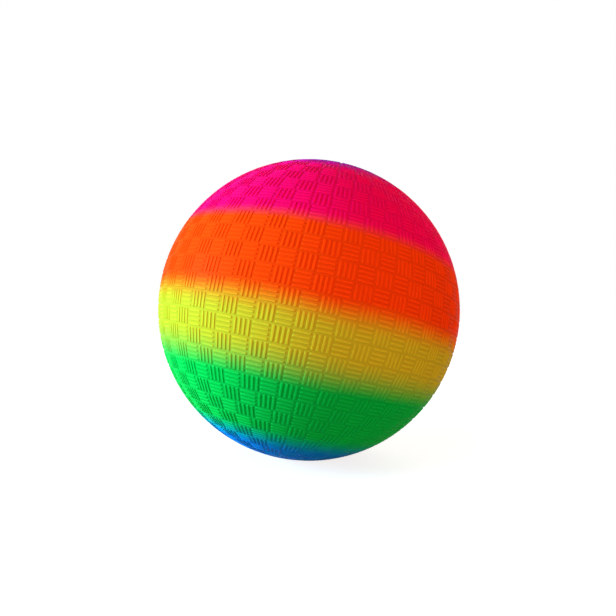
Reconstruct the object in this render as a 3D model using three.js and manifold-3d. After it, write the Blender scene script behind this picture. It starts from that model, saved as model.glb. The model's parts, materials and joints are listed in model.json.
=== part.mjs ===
// An inflatable toy ball: a hollow soft-PVC skin in rainbow bands, with a stopper valve at one pole.
// Millimetres, +Z up. The ball rests on z = 0, with the middle of its contact flat at the origin.
import * as THREE from 'three';
import { mergeVertices } from 'three/addons/utils/BufferGeometryUtils.js';
import Module from 'manifold-3d';

const wasm = await Module();
wasm.setup();

// Driving dimensions of the skin
const BALL_DIAMETER = 216; // over the tops of the grip ribs
const SKIN_WALL = 2.2; // from the rib tops to the inner face
const CONTACT_FLAT_RADIUS = 12; // the patch that the ball's weight presses flat on the floor
const AXIS_LEAN_RIGHT = 12.6; // degrees, how far the valve's pole leans towards +X
const AXIS_LEAN_BACK = 5.3; // degrees, how far it leans towards +Y

// Driving dimensions of the valve seat
const BORE_RADIUS = 2.6;
const HEAD_LEDGE = 2.2; // width of the ledge that the stopper's head sits on
const RIM_WIDTH = 3.4; // width of the flat rim around the stopper's head
const FLANGE_REACH = 6; // how far the flange reaches under the skin, past the port
const FLANGE_THICKNESS = 1.8;
const NECK_WALL = 2.4;
const NECK_LENGTH = 9; // below the flange

// Driving dimensions of the stopper
const HEAD_THICKNESS = 1.6;
const HEAD_SINK = 0.2; // how far the head lies below the rim
const DIMPLE_RADIUS = 1.3; // the pick hole in the head
const DIMPLE_DEPTH = 0.6;
const SHANK_LENGTH = 11; // from the head to the start of the tip
const SHANK_RELIEF = 0.4; // how far the shank lies below its sealing ridges
const RIDGE_COUNT = 3;
const RIDGE_LENGTH = 1.2;
const TIP_LENGTH = 2.5;
const TIP_RADIUS = 1.2;

// Clearances
const WELD_GAP = 0.3; // between the seat and the skin that it is welded to
const SEAT_GAP = 0.3; // between the stopper's head and its recess
const PLUG_CLEARANCE = 0.25; // between the sealing ridges and the bore

// Facets: the skin has one for each cell of the grip at the equator
const SKIN_STEPS_AROUND = 60;
const SKIN_STEPS_UP = 32;
const VALVE_STEPS_AROUND = 32;
const ARC_STEPS = 4;

// The sprayed colours, each with the latitude at which it takes over from the one above it
const RAINBOW = [
  { above: 58, colour: 0x7a1fa0 },
  { above: 22, colour: 0xff0a6e },
  { above: -4, colour: 0xff5a00 },
  { above: -24, colour: 0xd8d020 },
  { above: -54, colour: 0x00b04a },
  { above: -90, colour: 0x0a62c0 },
];
const SPRAY_BLEND = 4; // degrees over which two colours mix

const ballRadius = BALL_DIAMETER / 2;
const innerRadius = ballRadius - SKIN_WALL;
const centreHeight = Math.sqrt(ballRadius ** 2 - CONTACT_FLAT_RADIUS ** 2);
const recessRadius = BORE_RADIUS + HEAD_LEDGE;
const collarRadius = recessRadius + RIM_WIDTH;
const portRadius = collarRadius + WELD_GAP;

// Height on a sphere about the ball's centre, at a distance from the valve's axis
const heightOn = (sphereRadius, r) => Math.sqrt(sphereRadius ** 2 - r ** 2);

// The seat's rim is flush with the skin, and its flange lies under the skin
const rimHeight = heightOn(ballRadius, collarRadius);
const facetShare = Math.cos(Math.PI / SKIN_STEPS_AROUND) * Math.cos(Math.PI / (2 * SKIN_STEPS_UP));
const flangeTop = innerRadius * facetShare - WELD_GAP; // clear of the middles of the skin's facets
const flangeBottom = flangeTop - FLANGE_THICKNESS;
const ledgeHeight = rimHeight - HEAD_SINK - HEAD_THICKNESS - SEAT_GAP;

// Points of an arc about the ball's centre, from one distance off the axis to another
function arcOn(sphereRadius, fromR, toR, steps) {
  const from = Math.asin(fromR / sphereRadius);
  const to = Math.asin(toR / sphereRadius);
  return Array.from({ length: steps + 1 }, (_, i) => {
    const angle = from + ((to - from) * i) / steps;
    return [sphereRadius * Math.sin(angle), sphereRadius * Math.cos(angle)];
  });
}

// A turned solid about +Z from [radius, height] points, which run up the outside and down the inside
function turned(profile, stepsAround) {
  const points = profile.map(([r, z]) => new THREE.Vector2(r, z));
  const geometry = new THREE.LatheGeometry(points, stepsAround);
  return solidOf(geometry.rotateX(Math.PI / 2));
}

function solidOf(geometry) {
  geometry.deleteAttribute('normal');
  geometry.deleteAttribute('uv');
  const merged = mergeVertices(geometry);
  const corners = Array.from(merged.index.array);
  const kept = [];
  for (let i = 0; i < corners.length; i += 3) {
    const [a, b, c] = corners.slice(i, i + 3);
    if (a !== b && b !== c && c !== a) kept.push(a, b, c);
  }
  return new wasm.Manifold(new wasm.Mesh({
    numProp: 3,
    vertProperties: new Float32Array(merged.attributes.position.array),
    triVerts: new Uint32Array(kept),
  }));
}

function meshOf(name, solid, material) {
  const { vertProperties, triVerts } = solid.getMesh();
  const geometry = new THREE.BufferGeometry();
  geometry.setAttribute('position', new THREE.BufferAttribute(vertProperties, 3));
  geometry.setIndex(new THREE.BufferAttribute(triVerts, 1));
  geometry.computeVertexNormals();
  const mesh = new THREE.Mesh(geometry, material);
  mesh.name = name;
  return mesh;
}

// A ball about the origin, pressed flat underneath at a given height
function restingBall(radius, flatHeight) {
  const start = Math.acos(-flatHeight / radius);
  const profile = [[0, flatHeight]];
  for (let i = 0; i < SKIN_STEPS_UP; i += 1) {
    const angle = start + ((Math.PI - start) * i) / SKIN_STEPS_UP;
    profile.push([radius * Math.sin(angle), -radius * Math.cos(angle)]);
  }
  profile.push([0, radius]);
  return turned(profile, SKIN_STEPS_AROUND);
}

const valveTurn = new THREE.Euler(
  -THREE.MathUtils.degToRad(AXIS_LEAN_BACK),
  THREE.MathUtils.degToRad(AXIS_LEAN_RIGHT),
  0,
  'YXZ',
);
const valveAxis = new THREE.Vector3(0, 0, 1).applyEuler(valveTurn);

// The sprayed colour at a latitude about the valve's axis
function sprayedColour(latitude) {
  const colour = new THREE.Color(RAINBOW[0].colour);
  for (let i = 1; i < RAINBOW.length; i += 1) {
    const edge = RAINBOW[i - 1].above;
    const share = THREE.MathUtils.smoothstep(edge - latitude, -SPRAY_BLEND, SPRAY_BLEND);
    colour.lerp(new THREE.Color(RAINBOW[i].colour), share);
  }
  return colour;
}

function sprayRainbow(geometry) {
  const position = geometry.attributes.position;
  const colours = new Float32Array(position.count * 3);
  const point = new THREE.Vector3();
  for (let i = 0; i < position.count; i += 1) {
    point.fromBufferAttribute(position, i).normalize();
    const latitude = THREE.MathUtils.radToDeg(Math.asin(point.dot(valveAxis)));
    sprayedColour(latitude).toArray(colours, i * 3);
  }
  geometry.setAttribute('color', new THREE.BufferAttribute(colours, 3));
}

// The skin: a hollow ball with a port through it for the valve
function ballSkin() {
  const outer = restingBall(ballRadius, -centreHeight);
  const inner = restingBall(innerRadius, SKIN_WALL - centreHeight);
  const portGeometry = new THREE.CylinderGeometry(portRadius, portRadius, ballRadius, VALVE_STEPS_AROUND);
  portGeometry.rotateX(Math.PI / 2);
  portGeometry.translate(0, 0, ballRadius);
  portGeometry.applyMatrix4(new THREE.Matrix4().makeRotationFromEuler(valveTurn));
  const skin = outer.subtract(inner).subtract(solidOf(portGeometry));
  const material = new THREE.MeshStandardMaterial({ vertexColors: true, roughness: 0.42, metalness: 0 });
  const mesh = meshOf('ball_skin', skin, material);
  sprayRainbow(mesh.geometry);
  return mesh;
}

// The seat: a collar in the port, a flange under the skin, and a neck with the bore inside the ball
function valveSeat() {
  const neckRadius = BORE_RADIUS + NECK_WALL;
  const flangeRadius = portRadius + FLANGE_REACH;
  const neckEnd = heightOn(flangeBottom, neckRadius) - NECK_LENGTH;
  const profile = [
    [BORE_RADIUS, neckEnd],
    [neckRadius, neckEnd],
    ...arcOn(flangeBottom, neckRadius, flangeRadius, ARC_STEPS),
    ...arcOn(flangeTop, flangeRadius, collarRadius, ARC_STEPS),
    [collarRadius, rimHeight],
    [recessRadius, rimHeight],
    [recessRadius, ledgeHeight],
    [BORE_RADIUS, ledgeHeight],
    [BORE_RADIUS, neckEnd],
  ];
  const material = new THREE.MeshStandardMaterial({ color: 0x7a1fa0, roughness: 0.5, metalness: 0 });
  return meshOf('valve_seat', turned(profile, VALVE_STEPS_AROUND), material);
}

// The stopper: a dimpled head in the recess, and a ridged shank with a blunt tip in the bore
function valvePlug() {
  const headRadius = recessRadius - SEAT_GAP;
  const ridgeRadius = BORE_RADIUS - PLUG_CLEARANCE;
  const shankRadius = ridgeRadius - SHANK_RELIEF;
  const headTop = rimHeight - HEAD_SINK;
  const headBottom = headTop - HEAD_THICKNESS;
  const shankEnd = headBottom - SHANK_LENGTH;
  const profile = [[0, shankEnd - TIP_LENGTH], [TIP_RADIUS, shankEnd - TIP_LENGTH], [shankRadius, shankEnd]];
  const ridgePitch = SHANK_LENGTH / RIDGE_COUNT;
  for (let i = 0; i < RIDGE_COUNT; i += 1) {
    const middle = shankEnd + ridgePitch * (i + 0.5);
    profile.push([shankRadius, middle - RIDGE_LENGTH / 2]);
    profile.push([ridgeRadius, middle]);
    profile.push([shankRadius, middle + RIDGE_LENGTH / 2]);
  }
  profile.push([shankRadius, headBottom], [headRadius, headBottom], [headRadius, headTop]);
  profile.push([DIMPLE_RADIUS, headTop], [0, headTop - DIMPLE_DEPTH]);
  const material = new THREE.MeshStandardMaterial({ color: 0xf2efe6, roughness: 0.45, metalness: 0 });
  return meshOf('valve_plug', turned(profile, VALVE_STEPS_AROUND), material);
}

const valve = new THREE.Group();
valve.rotation.copy(valveTurn);
valve.add(valveSeat(), valvePlug());

const toyBall = new THREE.Group();
toyBall.position.z = centreHeight;
toyBall.add(ballSkin(), valve);

export default toyBall;
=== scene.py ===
# %% [markdown]
# # A rainbow toy ball
# The ball is a hollow skin of soft PVC, moulded in two halves with a basket-weave grip, sprayed in
# rainbow bands and blown up through a stopper valve. This lesson dresses the plain solids of the frame:
# first the camera, then the woven skin, then the valve, then the studio around it.

# %% Load the frame
import json
import math

import bpy
from mathutils import Euler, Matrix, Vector


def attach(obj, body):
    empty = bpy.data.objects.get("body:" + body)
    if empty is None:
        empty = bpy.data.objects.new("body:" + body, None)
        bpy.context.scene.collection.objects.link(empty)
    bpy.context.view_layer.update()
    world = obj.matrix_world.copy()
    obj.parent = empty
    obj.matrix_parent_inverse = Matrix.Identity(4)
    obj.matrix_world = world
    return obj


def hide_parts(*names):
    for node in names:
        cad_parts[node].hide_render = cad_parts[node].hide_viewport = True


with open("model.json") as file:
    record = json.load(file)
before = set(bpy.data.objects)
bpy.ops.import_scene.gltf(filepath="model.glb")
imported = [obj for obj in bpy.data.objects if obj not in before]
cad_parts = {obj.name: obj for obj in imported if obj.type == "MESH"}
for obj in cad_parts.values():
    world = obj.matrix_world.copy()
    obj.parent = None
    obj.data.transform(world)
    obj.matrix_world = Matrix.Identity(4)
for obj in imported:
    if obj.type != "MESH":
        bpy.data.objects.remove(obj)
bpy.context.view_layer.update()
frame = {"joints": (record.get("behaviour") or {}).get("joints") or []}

# %% [markdown]
# ## Sizes that everything shares
# The frame gives the valve's axis, because the stopper slides along it. The weave, the colour bands and
# the valve all go round that axis, so one turn, the lean, places them all. The ball lies on the floor and
# its weight presses a small flat there, which sets the height of its centre.

# %% Ball, axis and lean
MM = 0.001
BALL_RADIUS = 108 * MM  # to the tops of the ribs
CONTACT_FLAT_RADIUS = 12 * MM
SKIN_WALL = 2.2 * MM  # from the tops of the ribs to the inner face
centre = Vector((0, 0, math.sqrt(BALL_RADIUS**2 - CONTACT_FLAT_RADIUS**2)))
valve_axis = Vector(frame["joints"][0]["axis"])
lean = Euler((-math.asin(valve_axis.y), math.atan2(valve_axis.x, valve_axis.z), 0), "XYZ")
print("ball centre", centre[:], "lean in degrees", [round(math.degrees(angle), 2) for angle in lean])

# %% [markdown]
# ## The camera
# The photograph was taken from close by: the weave near the edge of the ball turns away faster than it
# would from afar. Fitting the rows of cells gives the distance, 3.48 ball radii, and the size of the ball
# in the picture then gives the lens.

# %% Camera at the photograph's place
IMAGE_PX = 616
BALL_RADIUS_PX = 151.0
BALL_CENTRE_PX = (309.0, 309.9)
CAMERA_RADII = 3.477  # from the ball's centre to the camera
SENSOR_WIDTH = 36  # in millimetres, like the lens
focal_px = BALL_RADIUS_PX * math.sqrt(CAMERA_RADII**2 - 1)

camera_data = bpy.data.cameras.new("camera")
camera_data.sensor_width = SENSOR_WIDTH
camera_data.lens = focal_px / IMAGE_PX * SENSOR_WIDTH
camera_data.shift_x = (IMAGE_PX / 2 - BALL_CENTRE_PX[0]) / IMAGE_PX
camera_data.shift_y = (BALL_CENTRE_PX[1] - IMAGE_PX / 2) / IMAGE_PX
camera_data.clip_start = 10 * MM
camera = bpy.data.objects.new("camera", camera_data)
camera.location = centre + Vector((0, -CAMERA_RADII * BALL_RADIUS, 0))
camera.rotation_euler = (math.radians(90), 0, 0)
bpy.context.scene.collection.objects.link(camera)
bpy.context.scene.camera = camera
print("lens", round(camera_data.lens, 2), "mm")

# %% [markdown]
# ## Helpers for node trees
# Both the weave and the materials are node trees. A few small helpers keep them readable: they fill an
# input, make a node, do arithmetic and start a group with named sockets. A second set does what every
# geometry tree here needs: it reads and moves points, notes a value on them, and joins and welds parts.


# %% Node helpers
def feed(tree, socket, value):
    """Links a socket to an input, or sets the input to a plain value."""
    if isinstance(value, bpy.types.NodeSocket):
        tree.links.new(value, socket)
    else:
        socket.default_value = value


def node(tree, kind, inputs=None, **settings):
    """A new node, with its settings and then its inputs filled in."""
    made = tree.nodes.new(kind)
    for key, value in settings.items():
        setattr(made, key, value)
    for key, value in (inputs or {}).items():
        feed(tree, made.inputs[key], value)
    return made


def maths(tree, operation, *values):
    made = node(tree, "ShaderNodeMath", operation=operation)
    for socket, value in zip(made.inputs, values):
        feed(tree, socket, value)
    return made.outputs[0]


def node_group(name, kind, inputs, outputs):
    """A group with sockets given as (name, socket type), and its two end nodes."""
    tree = bpy.data.node_groups.new(name, kind)
    for label, socket_type in inputs:
        tree.interface.new_socket(label, in_out="INPUT", socket_type="NodeSocket" + socket_type)
    for label, socket_type in outputs:
        tree.interface.new_socket(label, in_out="OUTPUT", socket_type="NodeSocket" + socket_type)
    return tree, tree.nodes.new("NodeGroupInput"), tree.nodes.new("NodeGroupOutput")


# %% Geometry helpers
def position(tree):
    return node(tree, "GeometryNodeInputPosition").outputs[0]


def moved(tree, geometry, place):
    settings = {"Geometry": geometry, "Position": place}
    return node(tree, "GeometryNodeSetPosition", settings).outputs[0]


def stored(tree, geometry, name, value):
    """The geometry with a value noted at each point under a name."""
    settings = {"Geometry": geometry, "Name": name, "Value": value}
    made = node(tree, "GeometryNodeStoreNamedAttribute", settings, data_type="FLOAT", domain="POINT")
    return made.outputs[0]


def attribute(tree, name):
    """A value that was noted at each point."""
    made = node(tree, "GeometryNodeInputNamedAttribute", {"Name": name}, data_type="FLOAT")
    return made.outputs[0]


def joined(tree, *parts):
    join = node(tree, "GeometryNodeJoinGeometry")
    for part in parts:
        tree.links.new(part, join.inputs[0])
    return join.outputs[0]


def welded(tree, geometry, distance):
    """The geometry with points closer than a distance made one."""
    settings = {"Geometry": geometry, "Distance": distance}
    return node(tree, "GeometryNodeMergeByDistance", settings).outputs[0]


# %% [markdown]
# ## One cell of the weave
# The grip copies a basket weave: each cell has four short ribs, and neighbours turn theirs by a quarter.
# A cell is a small grid with four columns of points for each rib: foot, crown, crown, foot. Raising the
# crowns makes a flat-topped rib with steep sides, as a cutter leaves it in the mould, from very few faces.
# The height isn't built yet, only noted in an attribute called relief, because the cell is still flat.

# %% Cell tree
RIBS_PER_CELL = 4
POINTS_PER_RIB = 4  # across a rib, and along it too
RIB_FOOT = 0.275  # from a rib's middle to its foot, as a share of the distance between ribs
RIB_CROWN = 0.18  # and to the edge of its crown
BETWEEN_POINTS = 1 / 3  # along a rib, between its inner points at a sixth and its outer ones at a half


def weave_cell():
    """A flat cell, a unit square with its ribs along Y, or along X where Turned is 1."""
    inputs = [("Rib Length", "Float"), ("Rib Ramp", "Float"), ("Turned", "Float")]
    tree, start, end = node_group("weave_cell", "GeometryNodeTree", inputs, [("Cell", "Geometry")])
    given = start.outputs
    across = RIBS_PER_CELL * POINTS_PER_RIB
    size = {"Size X": (across - 1) / across, "Size Y": 1.0}
    size |= {"Vertices X": across, "Vertices Y": POINTS_PER_RIB}
    grid = node(tree, "GeometryNodeMeshGrid", size).outputs[0]
    place = node(tree, "ShaderNodeSeparateXYZ", {0: position(tree)})
    x, y = place.outputs[0], place.outputs[1]

    # Along a rib, the outer two of its four points are feet, and the inner two are crowns.
    is_end = maths(tree, "GREATER_THAN", maths(tree, "ABSOLUTE", y), BETWEEN_POINTS)
    half_length = maths(tree, "MULTIPLY", given["Rib Length"], 0.5)
    crown_reach = maths(tree, "SUBTRACT", half_length, given["Rib Ramp"])
    reach = maths(tree, "MULTIPLY_ADD", is_end, given["Rib Ramp"], crown_reach)
    along = maths(tree, "MULTIPLY", maths(tree, "SIGN", y), reach)

    # Across the cell, four columns of points share one rib, and slide to its feet and crowns.
    column = maths(tree, "FLOOR", maths(tree, "MULTIPLY", maths(tree, "ADD", x, 0.5), across))
    rib = maths(tree, "FLOOR", maths(tree, "DIVIDE", column, POINTS_PER_RIB))
    step = maths(tree, "MODULO", column, POINTS_PER_RIB)
    off_middle = maths(tree, "SUBTRACT", step, (POINTS_PER_RIB - 1) / 2)
    is_crown = maths(tree, "LESS_THAN", maths(tree, "ABSOLUTE", off_middle), 1)
    half_width = maths(tree, "MULTIPLY_ADD", is_crown, RIB_CROWN - RIB_FOOT, RIB_FOOT)
    in_pitch = maths(tree, "MULTIPLY_ADD", maths(tree, "SIGN", off_middle), half_width, 0.5)
    in_cell = maths(tree, "DIVIDE", maths(tree, "ADD", rib, in_pitch), RIBS_PER_CELL)
    x = maths(tree, "SUBTRACT", in_cell, 0.5)
    relief = maths(tree, "MULTIPLY", is_crown, maths(tree, "SUBTRACT", 1, is_end))
    noted = stored(tree, grid, "relief", relief)

    # The two vectors of a mix node are its inputs 4 and 5.
    upright = node(tree, "ShaderNodeCombineXYZ", {0: x, 1: along}).outputs[0]
    turned = node(tree, "ShaderNodeCombineXYZ", {0: maths(tree, "MULTIPLY", along, -1), 1: x}).outputs[0]
    choice = {0: given["Turned"], 4: upright, 5: turned}
    place = node(tree, "ShaderNodeMix", choice, data_type="VECTOR").outputs[1]
    tree.links.new(moved(tree, noted, place), end.inputs[0])
    return tree


cell_tree = weave_cell()
print("one cell has", RIBS_PER_CELL, "ribs of", POINTS_PER_RIB, "points across")

# %% [markdown]
# ## Half a weave, laid out flat and wrapped on the ball
# A mould maker engraves the weave row by row. Each row is 5.6 degrees of latitude, and the number of
# cells in a row falls towards the pole so that they stay nearly square. The tree does the same on a flat
# map of longitude and latitude: one point for each row, copied once for each cell, with a cell on each
# copy. The outlines of all cells are then holes in a filled sheet, which closes the gaps between them
# whatever their number, and the sheet is wrapped on the ball.


# %% A point on the map for each cell
def cell_points(tree, given):
    """The points, with each cell's turn, 0 or 1, and its size on the map."""
    # One point for each row, which knows its number and its even count of cells.
    pitch = given["Row Pitch"]
    rows = node(tree, "GeometryNodePoints", {"Count": given["Rows"]}).outputs[0]
    row = node(tree, "GeometryNodeInputIndex").outputs[0]
    round_here = maths(tree, "COSINE", maths(tree, "MULTIPLY", row, pitch))
    equator_pairs = maths(tree, "MULTIPLY", given["Equator Cells"], 0.5)
    pairs = maths(tree, "ROUND", maths(tree, "MULTIPLY", equator_pairs, round_here))
    rows = stored(tree, stored(tree, rows, "row", row), "pairs", pairs)

    # One copy of the row's point for each cell, spread along the row.
    row, pairs = attribute(tree, "row"), attribute(tree, "pairs")
    cells = maths(tree, "MULTIPLY", pairs, 2)
    settings = {"Geometry": rows, "Amount": cells}
    copies = node(tree, "GeometryNodeDuplicateElements", settings, domain="POINT")
    number = copies.outputs["Duplicate Index"]
    width = maths(tree, "DIVIDE", math.tau, cells)
    along_row = maths(tree, "MULTIPLY", maths(tree, "ADD", number, 0.5), width)
    longitude = maths(tree, "SUBTRACT", along_row, math.pi)
    latitude = maths(tree, "MULTIPLY", maths(tree, "ADD", row, 0.5), pitch)
    place = node(tree, "ShaderNodeCombineXYZ", {0: longitude, 1: latitude}).outputs[0]
    points = moved(tree, copies.outputs[0], place)

    # Cells take turns along a row and from row to row.
    turn = maths(tree, "MODULO", maths(tree, "ADD", maths(tree, "ADD", row, number), pairs), 2)
    size = node(tree, "ShaderNodeCombineXYZ", {0: width, 1: pitch, 2: 1.0}).outputs[0]
    return points, turn, size


# %% Cells on those points
RIB_LENGTHS = (0.90, 0.88)  # shares of the cell, of ribs that run along and across the meridians
RIB_RAMP = 0.055  # share of the cell in which each end of a rib slopes down


def cells_on_map(tree, given):
    points, turn, size = cell_points(tree, given)
    kinds = []
    for turned, rib_length in enumerate(RIB_LENGTHS):
        shape = {"Rib Length": rib_length, "Rib Ramp": RIB_RAMP, "Turned": turned}
        cell = node(tree, "GeometryNodeGroup", shape, node_tree=cell_tree).outputs[0]
        pair = {0: turn, 1: turned}
        chosen = node(tree, "FunctionNodeCompare", pair, data_type="FLOAT", operation="EQUAL").outputs[0]
        wiring = {"Points": points, "Selection": chosen, "Instance": cell, "Scale": size}
        kinds.append(node(tree, "GeometryNodeInstanceOnPoints", wiring).outputs[0])
    return node(tree, "GeometryNodeRealizeInstances", {"Geometry": joined(tree, *kinds)}).outputs[0]


# %% The sheet between the cells
def boundary_curve(tree, mesh):
    """The outline of a flat mesh as a curve: its edges with one face."""
    faces = node(tree, "GeometryNodeInputMeshEdgeNeighbors").outputs["Face Count"]
    on_edge = node(tree, "FunctionNodeCompare", {2: faces, 3: 1}, data_type="INT", operation="EQUAL")
    settings = {"Mesh": mesh, "Selection": on_edge.outputs[0]}
    return node(tree, "GeometryNodeMeshToCurve", settings).outputs[0]


def sheet_between(tree, given, cells):
    """The map's own outline, filled, with the cells as holes."""
    height = maths(tree, "MULTIPLY", given["Rows"], given["Row Pitch"])
    across = maths(tree, "MULTIPLY_ADD", given["Equator Cells"], 2, 1)
    up = maths(tree, "MULTIPLY_ADD", given["Rows"], 2, 1)
    size = {"Size X": math.tau, "Size Y": height, "Vertices X": across, "Vertices Y": up}
    sheet = node(tree, "GeometryNodeMeshGrid", size).outputs[0]
    lift = node(tree, "ShaderNodeCombineXYZ", {1: maths(tree, "MULTIPLY", height, 0.5)}).outputs[0]
    sheet = node(tree, "GeometryNodeTransform", {"Geometry": sheet, "Translation": lift}).outputs[0]
    outlines = joined(tree, boundary_curve(tree, sheet), boundary_curve(tree, cells))
    return node(tree, "GeometryNodeFillCurve", {"Curve": outlines}).outputs[0]


# %% Wrapping the map on the ball
def wrapped(tree, given, flat):
    """The map on the ball: longitude 0 faces the photograph, and crowns reach the ball's full radius."""
    on_map = node(tree, "ShaderNodeSeparateXYZ", {0: position(tree)})
    longitude = maths(tree, "ADD", on_map.outputs[0], given["Start Line"])
    latitude = maths(tree, "MULTIPLY", on_map.outputs[1], given["Side"])
    depth = maths(tree, "SUBTRACT", 1, attribute(tree, "relief"))
    sunk = maths(tree, "MULTIPLY", depth, given["Rib Height"])
    radius = maths(tree, "SUBTRACT", given["Ball Radius"], sunk)
    ring = maths(tree, "MULTIPLY", radius, maths(tree, "COSINE", latitude))
    front = maths(tree, "MULTIPLY", ring, maths(tree, "COSINE", longitude))
    place = node(tree, "ShaderNodeCombineXYZ", {
        0: maths(tree, "MULTIPLY", ring, maths(tree, "SINE", longitude)),
        1: maths(tree, "MULTIPLY", front, -1),
        2: maths(tree, "MULTIPLY", radius, maths(tree, "SINE", latitude)),
    })
    skin = moved(tree, flat, place.outputs[0])
    mirrored = maths(tree, "LESS_THAN", given["Side"], 0)
    return node(tree, "GeometryNodeFlipFaces", {"Mesh": skin, "Selection": mirrored}).outputs[0]


# %% Tree of half a weave
CELL_GAP = 1e-4  # radians, under which points of the map are one


def half_weave():
    inputs = [("Ball Radius", "Float"), ("Rib Height", "Float"), ("Rows", "Int"), ("Row Pitch", "Float")]
    inputs += [("Equator Cells", "Float"), ("Start Line", "Float"), ("Side", "Float")]
    tree, start, end = node_group("half_weave", "GeometryNodeTree", inputs, [("Weave", "Geometry")])
    given = start.outputs
    cells = cells_on_map(tree, given)
    between = sheet_between(tree, given, cells)
    flat = welded(tree, joined(tree, between, cells), CELL_GAP)
    skin = wrapped(tree, given, flat)
    for spare in ("row", "pairs"):
        skin = node(tree, "GeometryNodeRemoveAttribute", {"Geometry": skin, "Name": spare}).outputs[0]
    tree.links.new(skin, end.inputs[0])
    return tree


half_tree = half_weave()
print("half weave tree:", len(half_tree.nodes), "nodes")

# %% [markdown]
# ## Lands, port and inner wall
# Round each pole the weave stops at a smooth land with a raised bead, and the land at the top holds the
# port for the valve. These, and the inner wall, are turned shapes, so a profile and a lathe make them. The
# lathe has two columns for each cell at the equator, the same as the edge of the flat map, so the two
# meet point for point.

# %% Lathe
ON_AXIS = 1e-7  # metres from the axis, under which a profile's point is a pole


def polar(angle_degrees, radius):
    """A profile point at an angle from the valve's axis and a distance from the ball's centre."""
    angle = math.radians(angle_degrees)
    return (radius * math.sin(angle), radius * math.cos(angle))


def turned_mesh(profiles, columns, start=0.0):
    """Points and faces of profiles of (radius, height), turned about Z. Each runs from the outside in."""
    points, faces = [], []
    for profile in profiles:
        closed = profile[0] == profile[-1]
        rings = []
        for radius, height in profile[:-1] if closed else profile:
            if radius < ON_AXIS:
                rings.append([len(points)] * columns)
                points.append((0, 0, height))
                continue
            rings.append(list(range(len(points), len(points) + columns)))
            for i in range(columns):
                turn = start + math.tau * i / columns
                points.append((radius * math.sin(turn), -radius * math.cos(turn), height))
        if closed:
            rings.append(rings[0])
        for low, high in zip(rings, rings[1:]):
            for i in range(columns):
                j = (i + 1) % columns
                corners = [low[i], low[j], high[j], high[i]]
                faces.append(list(dict.fromkeys(corners)))
    return points, faces


# %% Bead at the end of the weave
ROWS_PER_HALF = 14
ROW_PITCH = math.radians(5.625)
RIB_HEIGHT = 0.4 * MM
# Degrees past the weave's end, towards the pole, and height as a share of the ribs' height
BEAD = [(0.45, 0.0), (0.7, 0.25), (0.85, 0.75), (1.05, 1.0), (1.3, 0.95), (1.5, 0.62), (1.7, 0.42)]
weave_end = 90 - math.degrees(ROWS_PER_HALF * ROW_PITCH)
base_radius = BALL_RADIUS - RIB_HEIGHT
bead = [polar(weave_end, base_radius)]
bead += [polar(weave_end - turn, base_radius + rise * RIB_HEIGHT) for turn, rise in BEAD]
print("the weave ends", round(weave_end, 2), "degrees from the poles")

# %% Upper land, port and inner wall
LAND_DROP = 0.3 * MM  # of the lands, below the tops of the ribs
PORT_RADIUS = 8.5 * MM
PORT_EDGE = 0.4 * MM  # radius of the port's rounded edge
EDGE_STEPS = 4
LAND_TURNS = (3.6, 2.4, 1.3)  # degrees outside the port's edge where the land lies low
LIP_TURNS = ((0.75, 0.08 * MM), (0.3, 0.0))  # and where it rises to the port, with the depth left there
WALL_RINGS = 28
land_radius = BALL_RADIUS - LAND_DROP
inner_radius = BALL_RADIUS - SKIN_WALL

port_turn = math.degrees(math.asin((PORT_RADIUS + PORT_EDGE) / BALL_RADIUS))
lip = [polar(port_turn + turn, land_radius) for turn in LAND_TURNS]
lip += [polar(port_turn + turn, BALL_RADIUS - depth) for turn, depth in LIP_TURNS]
edge_height = lip[-1][1] - PORT_EDGE
for step in range(EDGE_STEPS + 1):
    turn = math.radians(90 * step / EDGE_STEPS)
    reach = PORT_RADIUS + PORT_EDGE * (1 - math.sin(turn))
    lip.append((reach, edge_height + PORT_EDGE * math.cos(turn)))
wall_start = math.degrees(math.asin(PORT_RADIUS / inner_radius))
wall = [polar(wall_start + (180 - wall_start) * i / WALL_RINGS, inner_radius) for i in range(WALL_RINGS)]
top_and_wall = bead + lip + wall + [(0, -inner_radius)]
print("upper profile:", len(top_and_wall), "points")

# %% Lower land, and all lands turned
FOOT_TURNS = (7.5, 5.0, 2.6, 1.4)  # degrees from the lower pole, along its land
PIP_RADIUS = 1.6 * MM  # of the mark left by the mould's vent
PIP = ((1.0, -0.05 * MM), (0.7, 0.25 * MM), (0.0, 0.3 * MM))  # shares of its radius, with the rise there
EQUATOR_CELLS = 60
SKIN_COLUMNS = 2 * EQUATOR_CELLS
START_LINES = {1: math.radians(-0.65), -1: math.radians(2.6)}  # where the rows of each half begin

foot_land = [polar(turn, land_radius) for turn in FOOT_TURNS]
foot_land += [(share * PIP_RADIUS, land_radius + rise) for share, rise in PIP]
bottom = [(radius, -height) for radius, height in bead + foot_land]
first_column = START_LINES[1] - math.pi
lands_points, lands_faces = turned_mesh([top_and_wall, bottom[::-1]], SKIN_COLUMNS, first_column)
print("lands and inner wall:", len(lands_points), "points")

# %% [markdown]
# ## The whole skin
# One tree joins the two halves of the weave to the lands, welds them into one closed skin, leans it as it
# lies in the photograph, and presses it flat where it touches the floor. Its sizes are inputs, so the same
# tree makes a ball of another size or with another grip.

# %% Skin tree
WELD = 0.02 * MM
CRISP_ANGLE = math.radians(30)
LEAST_PLACE = (-1.0, -1.0, 0.0)  # metres; only the floor, at height 0, holds any point back
HALF_SIZES = ("Ball Radius", "Rib Height", "Rows", "Row Pitch", "Equator Cells")


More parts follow.
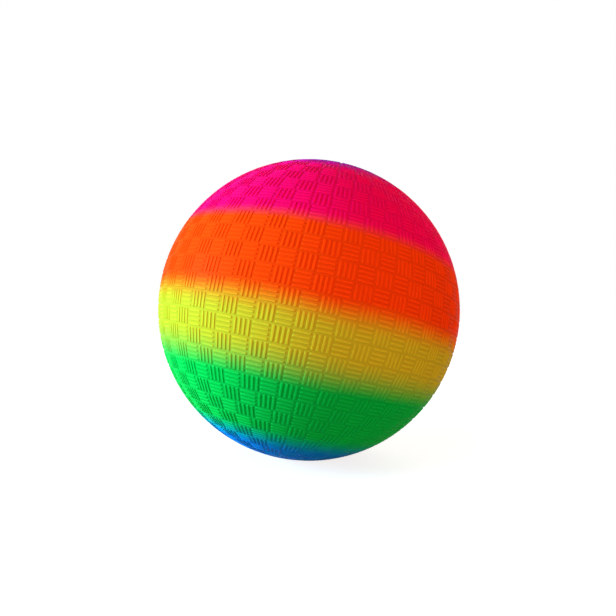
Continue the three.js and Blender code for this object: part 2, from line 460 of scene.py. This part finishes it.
def skin_tree():
    inputs = [("Lands", "Geometry"), ("Ball Radius", "Float"), ("Rib Height", "Float"), ("Rows", "Int")]
    inputs += [("Row Pitch", "Float"), ("Equator Cells", "Float"), ("Upper Start", "Float")]
    inputs += [("Lower Start", "Float"), ("Lean", "Vector"), ("Centre", "Vector"), ("Finish", "Material")]
    tree, start, end = node_group("ball_skin", "GeometryNodeTree", inputs, [("Skin", "Geometry")])
    given = start.outputs
    halves = []
    for side, line in ((1, "Upper Start"), (-1, "Lower Start")):
        sizes = {label: given[label] for label in HALF_SIZES}
        sizes |= {"Start Line": given[line], "Side": side}
        halves.append(node(tree, "GeometryNodeGroup", sizes, node_tree=half_tree).outputs[0])
    skin = welded(tree, joined(tree, given["Lands"], *halves), WELD)

    # Lean the skin, raise it to its height and press it flat on the floor.
    turn = {"Vector": position(tree), "Rotation": given["Lean"]}
    leaning = node(tree, "ShaderNodeVectorRotate", turn, rotation_type="EULER_XYZ").outputs[0]
    raised = node(tree, "ShaderNodeVectorMath", {0: leaning, 1: given["Centre"]}, operation="ADD").outputs[0]
    pressed = node(tree, "ShaderNodeVectorMath", {0: raised, 1: LEAST_PLACE}, operation="MAXIMUM").outputs[0]
    skin = moved(tree, skin, pressed)
    skin = node(tree, "GeometryNodeSetShadeSmooth", {"Geometry": skin}).outputs[0]

    # The ribs stay crisp along their feet and crowns, where the faces meet at a clear angle.
    bend = node(tree, "GeometryNodeInputMeshEdgeAngle").outputs["Unsigned Angle"]
    crisp = maths(tree, "GREATER_THAN", bend, CRISP_ANGLE)
    settings = {"Geometry": skin, "Selection": crisp, "Shade Smooth": False}
    skin = node(tree, "GeometryNodeSetShadeSmooth", settings, domain="EDGE").outputs[0]
    skin = node(tree, "GeometryNodeRealizeInstances", {"Geometry": skin}).outputs[0]
    skin = node(tree, "GeometryNodeSetMaterial", {"Geometry": skin, "Material": given["Finish"]}).outputs[0]
    tree.links.new(skin, end.inputs[0])
    return tree


whole_skin = skin_tree()
sockets = whole_skin.interface.items_tree
print("skin tree inputs:", [socket.name for socket in sockets if socket.in_out == "INPUT"])


# %% Turning a tree's result into a plain mesh
def mesh_object(name, points, faces):
    mesh = bpy.data.meshes.new(name)
    mesh.from_pydata(points, [], faces)
    made = bpy.data.objects.new(name, mesh)
    bpy.context.scene.collection.objects.link(made)
    return made


def grown(made, tree, values):
    """Runs a tree on an object with inputs given by name, and keeps the result as the object's mesh."""
    modifier = made.modifiers.new(tree.name, "NODES")
    modifier.node_group = tree
    for item in tree.interface.items_tree:
        if item.in_out == "INPUT" and item.name in values:
            modifier[item.identifier] = values[item.name]
    graph = bpy.context.evaluated_depsgraph_get()
    result = bpy.data.meshes.new_from_object(made.evaluated_get(graph), depsgraph=graph)
    made.modifiers.remove(modifier)
    made.data = result
    return made


# %% [markdown]
# ## Rainbow paint
# The skin is moulded in one colour and then spun on its valve past a row of spray guns, so the colours are
# bands of latitude that melt into each other. The bands lean about a degree less than the weave, and their
# edges wander a little and end in fine mist. The valve's insert is sprayed with the skin, so the paint is
# a node group that both materials use.

# %% Paints and their borders
PAINTS = {
    "purple": (0.24, 0.004, 0.42, 1),
    "pink": (0.79, 0.002, 0.115, 1),
    "orange": (0.82, 0.053, 0.002, 1),
    "yellow": (0.53, 0.47, 0.018, 1),
    "green": (0.002, 0.47, 0.056, 1),
    "blue": (0.002, 0.185, 0.56, 1),
}
# Each border's latitude and half of its blend, in degrees, from the top pole down
BORDERS = [(59, 9), (23.3, 2.8), (-4.5, 5.5), (-22.6, 6.5), (-55, 7.5)]
PAINT_LEAN = math.radians(-1.0)  # of the bands, beyond the lean of the weave
SPRAY_SWING = {"Wander": 2.5, "Mist": 2.5}  # degrees by which noise shifts the borders
SPRAY_SCALES = {"Wander": 18.0, "Mist": 900.0}  # of that noise, which is broad or as fine as droplets
print("paints from the top:", ", ".join(PAINTS))


# %% Paint group
def ball_coordinates(tree):
    """Object coordinates about the ball's centre, turned so that +Z is the sprayer's axis."""
    here = node(tree, "ShaderNodeTexCoord").outputs["Object"]
    place = {"Vector": here, "Location": centre, "Rotation": (lean.x, lean.y + PAINT_LEAN, 0)}
    return node(tree, "ShaderNodeMapping", place, vector_type="TEXTURE").outputs[0]


def noise(tree, vector, scale, detail=2.0):
    settings = {"Vector": vector, "Scale": scale, "Detail": detail, "Roughness": 0.55}
    return node(tree, "ShaderNodeTexNoise", settings, noise_dimensions="3D").outputs["Fac"]


def mixed(tree, share, first, second, blend="MIX"):
    """A mix of two colours, which are inputs 6 and 7 of a mix node."""
    inputs = {0: share, 6: first, 7: second}
    return node(tree, "ShaderNodeMix", inputs, data_type="RGBA", blend_type=blend).outputs[2]


def rainbow_paint():
    inputs = [("Wander", "Float"), ("Mist", "Float")]
    tree, start, end = node_group("rainbow_paint", "ShaderNodeTree", inputs, [("Color", "Color")])
    local = ball_coordinates(tree)
    unit = node(tree, "ShaderNodeVectorMath", {0: local}, operation="NORMALIZE").outputs[0]
    height = node(tree, "ShaderNodeSeparateXYZ", {0: unit}).outputs[2]
    latitude = maths(tree, "DEGREES", maths(tree, "ARCSINE", height))
    for label, scale in SPRAY_SCALES.items():
        swing = maths(tree, "SUBTRACT", noise(tree, local, scale), 0.5)
        latitude = maths(tree, "MULTIPLY_ADD", swing, start.outputs[label], latitude)
    colour, *others = PAINTS.values()
    for paint, (border, blend) in zip(others, BORDERS):
        edge = {"Value": latitude, "From Min": border + blend, "From Max": border - blend}
        share = node(tree, "ShaderNodeMapRange", edge, interpolation_type="SMOOTHSTEP").outputs[0]
        colour = mixed(tree, share, colour, paint)
    tree.links.new(colour, end.inputs[0])
    return tree


paint_group = rainbow_paint()


def sprayed(tree):
    """The paint's colour, in a material's tree."""
    return node(tree, "ShaderNodeGroup", SPRAY_SWING, node_tree=paint_group).outputs[0]


# %% [markdown]
# ## Moulded grain
# Soft PVC from a mould has a faint orange-peel surface, and it is a little shinier in some places than in
# others. All three pieces have that, so it is a second group, which gives a height for the bump and a shift
# for the roughness.


# %% Grain group
def moulded_grain():
    inputs = [("Peel Scale", "Float"), ("Patch Scale", "Float"), ("Patch Depth", "Float")]
    outputs = [("Height", "Float"), ("Roughness Shift", "Float")]
    tree, start, end = node_group("moulded_grain", "ShaderNodeTree", inputs, outputs)
    given = start.outputs
    here = node(tree, "ShaderNodeTexCoord").outputs["Object"]
    peel = noise(tree, here, given["Peel Scale"], detail=3.0)
    patch = maths(tree, "SUBTRACT", noise(tree, here, given["Patch Scale"], detail=4.0), 0.5)
    tree.links.new(peel, end.inputs["Height"])
    tree.links.new(maths(tree, "MULTIPLY", patch, given["Patch Depth"]), end.inputs["Roughness Shift"])
    return tree


grain_group = moulded_grain()


def finish_material(name, roughness, peel_depth, grain):
    """A material with its grain wired to roughness and bump. The caller gives it a colour."""
    material = bpy.data.materials.new(name)
    material.use_nodes = True
    tree = material.node_tree
    shader = tree.nodes["Principled BSDF"]
    texture = node(tree, "ShaderNodeGroup", grain, node_tree=grain_group).outputs
    tree.links.new(maths(tree, "ADD", texture["Roughness Shift"], roughness), shader.inputs["Roughness"])
    peel = {"Height": texture["Height"], "Distance": peel_depth, "Strength": 1.0}
    tree.links.new(node(tree, "ShaderNodeBump", peel).outputs[0], shader.inputs["Normal"])
    print("material", name)
    return material, tree, shader


# %% [markdown]
# ## The sprayed skin
# The paint is darkened in the valleys between the ribs and lightened on their crowns, by the relief that
# the weave noted at each point: painted shade in the valleys and a painted highlight on the crowns. The
# photograph shows hardly any gloss, so it is nearly off. The tree then grows the skin in place of its
# plain solid.

# %% Skin material
# Painted shade: the paint's tone in the valleys between the ribs, below its tone on the crowns
VALLEY_PAINTED_SHADE = 0.91
CROWN_PAINTED_LIGHT = 0.2  # painted highlight, added to that shaded tone on the crowns


def sprayed_skin():
    grain = {"Peel Scale": 1400.0, "Patch Scale": 60.0, "Patch Depth": 0.16}
    material, tree, shader = finish_material("sprayed_skin", 0.4, 0.03 * MM, grain)
    relief = node(tree, "ShaderNodeAttribute", attribute_name="relief").outputs["Fac"]
    # Painted shade in the valleys and a painted highlight on the crowns, following the relief
    tone = maths(tree, "MULTIPLY_ADD", relief, CROWN_PAINTED_LIGHT, VALLEY_PAINTED_SHADE)
    shaded = mixed(tree, 1.0, sprayed(tree), tone, blend="MULTIPLY")
    tree.links.new(shaded, shader.inputs["Base Color"])
    shader.inputs["Specular IOR Level"].default_value = 0.003
    return material


skin_finish = sprayed_skin()

# %% Woven skin
skin_sizes = {
    "Ball Radius": BALL_RADIUS,
    "Rib Height": RIB_HEIGHT,
    "Rows": ROWS_PER_HALF,
    "Row Pitch": ROW_PITCH,
    "Equator Cells": float(EQUATOR_CELLS),
    "Upper Start": START_LINES[1],
    "Lower Start": START_LINES[-1],
    "Lean": lean[:],
    "Centre": centre[:],
    "Finish": skin_finish,
}
woven_skin = grown(mesh_object("woven_skin", lands_points, lands_faces), whole_skin, skin_sizes)
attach(woven_skin, "ball")
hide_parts("ball_skin")
print("woven skin:", len(woven_skin.data.polygons), "faces")

# %% [markdown]
# ## The valve
# The seat is a soft insert, welded into the port from inside: a flat rim flush with the skin, a recess for
# the stopper's head, a flange under the skin and a neck with the bore. The stopper is a small moulded
# plug with sealing ridges. Both are turned shapes with softened corners.

# %% Softened corners and arcs
CORNER_SHARE = 0.45  # of a side, the most that a softened corner takes up


def softened(profile, radius, steps=4):
    """The profile with each inner corner replaced by a small curve."""
    soft = [profile[0]]
    for before, corner, after in zip(profile, profile[1:], profile[2:]):
        before, corner, after = Vector(before), Vector(corner), Vector(after)
        reach_in = min(radius, (before - corner).length * CORNER_SHARE)
        reach_out = min(radius, (after - corner).length * CORNER_SHARE)
        first = corner + (before - corner).normalized() * reach_in
        last = corner + (after - corner).normalized() * reach_out
        for step in range(steps + 1):
            t = step / steps
            soft.append(tuple(first * (1 - t) ** 2 + corner * 2 * t * (1 - t) + last * t**2))
    return soft + [profile[-1]]


def arc_about_centre(radius, from_reach, to_reach, steps=8):
    """Profile points on a sphere about the ball's centre, between two distances from the axis."""
    start, end = math.asin(from_reach / radius), math.asin(to_reach / radius)
    angles = [start + (end - start) * step / steps for step in range(steps + 1)]
    return [(radius * math.sin(angle), radius * math.cos(angle)) for angle in angles]


# %% A turned piece in its place
VALVE_COLUMNS = 72
SHARP_ANGLE = math.radians(40)


def valve_piece(name, profile, material, body, cad_node):
    points, faces = turned_mesh([profile], VALVE_COLUMNS)
    placed = [tuple(centre + lean.to_matrix() @ Vector(point)) for point in points]
    made = mesh_object(name, placed, faces)
    made.data.shade_smooth()
    made.data.set_sharp_from_angle(angle=SHARP_ANGLE)
    made.data.materials.append(material)
    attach(made, body)
    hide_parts(cad_node)
    print(name, len(made.data.polygons), "faces")
    return made


# %% Seat material
def sprayed_insert():
    grain = {"Peel Scale": 1800.0, "Patch Scale": 120.0, "Patch Depth": 0.12}
    material, tree, shader = finish_material("sprayed_insert", 0.5, 0.02 * MM, grain)
    tree.links.new(sprayed(tree), shader.inputs["Base Color"])
    shader.inputs["Specular IOR Level"].default_value = 0.1
    return material


# %% Seat
BORE_RADIUS = 2.6 * MM
RECESS_RADIUS = 4.8 * MM
COLLAR_RADIUS = 8.2 * MM
FLANGE_RADIUS = 14.5 * MM
FLANGE_TOP = 105.23 * MM  # from the ball's centre, just under the skin
FLANGE_THICKNESS = 1.8 * MM
NECK_RADIUS = 5.0 * MM
NECK_LENGTH = 9 * MM
SEAT_CORNER = 0.3 * MM
HEAD_THICKNESS = 1.6 * MM  # of the stopper's head, which the recess holds
HEAD_SINK = 0.2 * MM
HEAD_GAP = 0.3 * MM
rim_height = math.sqrt(BALL_RADIUS**2 - COLLAR_RADIUS**2)
ledge_height = rim_height - HEAD_SINK - HEAD_THICKNESS - HEAD_GAP
flange_bottom = FLANGE_TOP - FLANGE_THICKNESS
neck_end = math.sqrt(flange_bottom**2 - NECK_RADIUS**2) - NECK_LENGTH
bore_middle = (BORE_RADIUS, neck_end + NECK_LENGTH / 2)

seat_outside = [bore_middle, (BORE_RADIUS, neck_end), (NECK_RADIUS, neck_end)]
seat_outside += arc_about_centre(flange_bottom, NECK_RADIUS, FLANGE_RADIUS)
seat_outside += arc_about_centre(FLANGE_TOP, FLANGE_RADIUS, COLLAR_RADIUS)
seat_inside = [(COLLAR_RADIUS, rim_height), (RECESS_RADIUS, rim_height), (RECESS_RADIUS, ledge_height)]
seat_inside += [(BORE_RADIUS, ledge_height), bore_middle]
seat_profile = softened(seat_outside + seat_inside, SEAT_CORNER)
valve_insert = valve_piece("valve_insert", seat_profile, sprayed_insert(), "ball", "valve_seat")

# %% [markdown]
# ## The stopper
# It is moulded in plain off-white plastic that lets a little light in, and its tone is faintly cloudy. The
# ridges seal the bore, and a dimple in the head takes the pick that pulls it out.

# %% Stopper material
CLOUD_SCALE = 350.0
CLOUD_TONES = ((0.52, 0.50, 0.44, 1), (0.60, 0.58, 0.53, 1))


def stopper_plastic():
    grain = {"Peel Scale": 2500.0, "Patch Scale": 200.0, "Patch Depth": 0.2}
    material, tree, shader = finish_material("stopper_plastic", 0.42, 0.012 * MM, grain)
    here = node(tree, "ShaderNodeTexCoord").outputs["Object"]
    clouds = noise(tree, here, CLOUD_SCALE, detail=3.0)
    tree.links.new(mixed(tree, clouds, *CLOUD_TONES), shader.inputs["Base Color"])
    shader.inputs["Subsurface Weight"].default_value = 0.15
    shader.inputs["Subsurface Scale"].default_value = 1.0 * MM
    return material


# %% Stopper
HEAD_RADIUS = 4.5 * MM
SHANK_LENGTH = 11 * MM
SHANK_RADIUS = 1.95 * MM
RIDGE_RADIUS = 2.35 * MM
RIDGE_COUNT = 3
RIDGE_LENGTH = 1.2 * MM
TIP_LENGTH = 2.5 * MM
TIP_RADIUS = 1.2 * MM
DIMPLE_RADIUS = 1.3 * MM
DIMPLE_FLOOR_RADIUS = 0.4 * DIMPLE_RADIUS
DIMPLE_DEPTH = 0.6 * MM
STOPPER_CORNER = 0.35 * MM
head_top = rim_height - HEAD_SINK
head_bottom = head_top - HEAD_THICKNESS
shank_end = head_bottom - SHANK_LENGTH
tip_end = shank_end - TIP_LENGTH
dimple_floor = head_top - DIMPLE_DEPTH

stopper_profile = [(0, tip_end), (TIP_RADIUS, tip_end), (SHANK_RADIUS, shank_end)]
for ridge in range(RIDGE_COUNT):
    middle = shank_end + SHANK_LENGTH * (ridge + 0.5) / RIDGE_COUNT
    stopper_profile.append((SHANK_RADIUS, middle - RIDGE_LENGTH / 2))
    stopper_profile.append((RIDGE_RADIUS, middle))
    stopper_profile.append((SHANK_RADIUS, middle + RIDGE_LENGTH / 2))
stopper_profile += [(SHANK_RADIUS, head_bottom), (HEAD_RADIUS, head_bottom), (HEAD_RADIUS, head_top)]
stopper_profile += [(DIMPLE_RADIUS, head_top), (DIMPLE_FLOOR_RADIUS, dimple_floor), (0, dimple_floor)]
stopper_profile = softened(stopper_profile, STOPPER_CORNER)
valve_stopper = valve_piece("valve_stopper", stopper_profile, stopper_plastic(), "plug", "valve_plug")

# %% [markdown]
# ## The studio
# The photograph has a bare white ground, soft cool daylight from the left and warmer room light from the
# front right. The floor and the sky are white to the camera and to reflections, but light the ball only
# gently, and the floor keeps the ball's shadow.

# %% Floor
FLOOR_DROP = 0.1 * MM  # below the ball's flat, so that the two don't share a plane
FLOOR_HALF = 4.0
FLOOR_TONE = (0.38, 0.38, 0.38, 1)
FLOOR_GLOW = {"From Min": 0.2, "From Max": 0.9, "To Min": 0.82, "To Max": 1.0}  # metres off, and strength
WHITE = (1, 1, 1, 1)


def white_to_camera(tree):
    """1 for rays that look or reflect, 0 for rays that light."""
    path = node(tree, "ShaderNodeLightPath")
    seen = maths(tree, "MAXIMUM", path.outputs["Is Camera Ray"], path.outputs["Is Glossy Ray"])
    return maths(tree, "MAXIMUM", seen, path.outputs["Is Transmission Ray"])


def pale_floor():
    material = bpy.data.materials.new("pale_floor")
    material.use_nodes = True
    tree = material.node_tree
    shader = tree.nodes["Principled BSDF"]
    shader.inputs["Base Color"].default_value = FLOOR_TONE
    shader.inputs["Roughness"].default_value = 0.9
    shader.inputs["Specular IOR Level"].default_value = 0.0
    shader.inputs["Emission Color"].default_value = WHITE
    here = node(tree, "ShaderNodeTexCoord").outputs["Object"]
    away = node(tree, "ShaderNodeVectorMath", {0: here}, operation="LENGTH").outputs["Value"]
    far = {"Value": away, **FLOOR_GLOW}
    glow = node(tree, "ShaderNodeMapRange", far, interpolation_type="SMOOTHSTEP").outputs[0]
    feed(tree, shader.inputs["Emission Strength"], maths(tree, "MULTIPLY", white_to_camera(tree), glow))
    return material


square = ((-1, -1), (1, -1), (1, 1), (-1, 1))
corners = [(x * FLOOR_HALF, y * FLOOR_HALF, -FLOOR_DROP) for x, y in square]
floor = mesh_object("studio_floor", corners, [(0, 1, 2, 3)])
floor.data.materials.append(pale_floor())
print("floor", 2 * FLOOR_HALF, "m wide")

# %% Sky
AMBIENT = 0.12  # strength with which the sky lights, while it looks white
world = bpy.data.worlds.new("studio_sky")
bpy.context.scene.world = world
world.use_nodes = True
sky_tree = world.node_tree
sky = sky_tree.nodes["Background"]
sky.inputs["Color"].default_value = WHITE
strength = maths(sky_tree, "MULTIPLY_ADD", white_to_camera(sky_tree), 1 - AMBIENT, AMBIENT)
feed(sky_tree, sky.inputs["Strength"], strength)
print("sky lights at", AMBIENT)

# %% Lamps
# Each lamp's direction from the ball's centre, distance and size in metres, power in watts, colour, and
# whether gloss mirrors it
LAMPS = {
    "window_left": ((-0.958, -0.185, 0.225), 1.3, 0.6, 47.5, (0.39, 0.76, 1.0), True),
    "window_top": ((-0.3, -0.6, 0.74), 1.5, 0.6, 5.6, (1.0, 0.93, 1.0), False),
    "room_right": ((0.44, -0.9, 0.0), 1.4, 0.8, 18, (1.0, 0.41, 0.12), False),
    "room_back": ((0.5, 1.0, 0.6), 1.6, 1.2, 18, (1.0, 0.97, 0.95), False),
}


def softbox(name, direction, distance, size, power, colour, mirrored):
    """A square area lamp that faces the ball's centre."""
    data = bpy.data.lights.new(name, "AREA")
    data.size = size
    data.energy = power
    data.color = colour
    lamp = bpy.data.objects.new(name, data)
    away = Vector(direction).normalized()
    lamp.location = centre + away * distance
    lamp.visible_glossy = mirrored
    lamp.visible_camera = False
    lamp.rotation_euler = away.to_track_quat("Z", "Y").to_euler()
    bpy.context.scene.collection.objects.link(lamp)
    print(name, [round(value, 2) for value in lamp.location])


for lamp_name, settings in LAMPS.items():
    softbox(lamp_name, *settings)
bpy.context.scene.view_settings.view_transform = "Standard"
